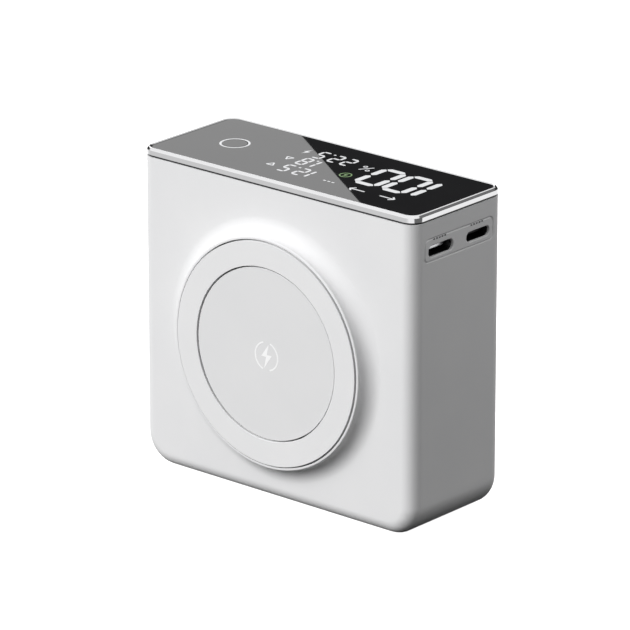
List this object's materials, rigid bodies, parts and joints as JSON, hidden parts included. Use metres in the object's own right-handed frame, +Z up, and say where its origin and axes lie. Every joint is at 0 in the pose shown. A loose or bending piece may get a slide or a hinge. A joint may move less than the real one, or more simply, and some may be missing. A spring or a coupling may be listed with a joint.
{
  "type": "power bank",
  "caption": "Box-shaped power bank with a round wireless charging pad on its front, side charging ports, and a display and push button on top.",
  "frame": {"origin": "middle of the flat base that it stands on", "axes": "+X to the right, towards the ports; +Y to the back, away from the charging pad; +Z up, towards the display"},
  "size_m": [0.085, 0.0367, 0.0802],
  "materials": {
    "white_plastic": "fine satin white polycarbonate",
    "pad_plastic": "matte white silicone-like plastic",
    "chrome": "polished chrome plating",
    "black_gloss": "polished smoked acrylic",
    "light_plastic": "milky light-diffusing plastic",
    "black_plastic": "moulded black plastic",
    "circuit_board": "green solder mask over copper",
    "chip": "moulded black epoxy",
    "steel": "plain stamped or turned steel",
    "copper": "lacquered copper wire",
    "ferrite": "dull dark grey ferrite",
    "cell_pouch": "crinkled laminate foil",
    "bright_metal": "bright nickel or aluminium",
    "foam": "open dark foam",
    "flex_cable": "amber polyimide film"
  },
  "bodies": {
    "case": {"board_screw_1": "steel", "board_screw_2": "steel", "board_screw_3": "steel", "board_screw_4": "steel", "board_tray": "black_plastic", "button_light_ring": "light_plastic", "button_switch": "chip", "capacitor_1": "bright_metal", "capacitor_2": "bright_metal", "capacitor_3": "bright_metal", "carrier_screw_1": "steel", "carrier_screw_2": "steel", "carrier_screw_3": "steel", "charger_chip": "chip", "charging_coil": "copper", "coil_lead": "flex_cable", "display_board": "circuit_board", "display_cable": "flex_cable", "display_cable_socket": "light_plastic", "display_carrier": "black_plastic", "display_lens": "black_gloss", "ferrite_sheet": "ferrite", "front_cell": "cell_pouch", "front_foam": "foam", "front_housing": "white_plastic", "front_negative_tab": "bright_metal", "front_positive_tab": "bright_metal", "lens_gasket": "foam", "light_guide": "light_plastic", "magnet_ring": "steel", "main_board": "circuit_board", "middle_foam": "foam", "pad_disc": "pad_plastic", "pad_ring": "pad_plastic", "port_plate": "white_plastic", "port_shell_left": "steel", "port_shell_right": "steel", "port_tongue_left": "bright_metal", "port_tongue_right": "black_plastic", "power_chip": "chip", "power_inductor": "ferrite", "rear_cell": "cell_pouch", "rear_cover": "white_plastic", "rear_foam": "foam", "rear_negative_tab": "bright_metal", "rear_positive_tab": "bright_metal", "top_frame": "chrome"},
    "button": {"power_button": "black_gloss", "switch_plunger": "steel"}
  },
  "joints": [
    {"name": "button_press", "type": "slide", "parent": "case", "child": "button", "axis": [0, 0, -1], "range_m": [0, 0.00035], "stiffness_N_per_m": 1500, "springref_m": -0.0004}
  ]
}
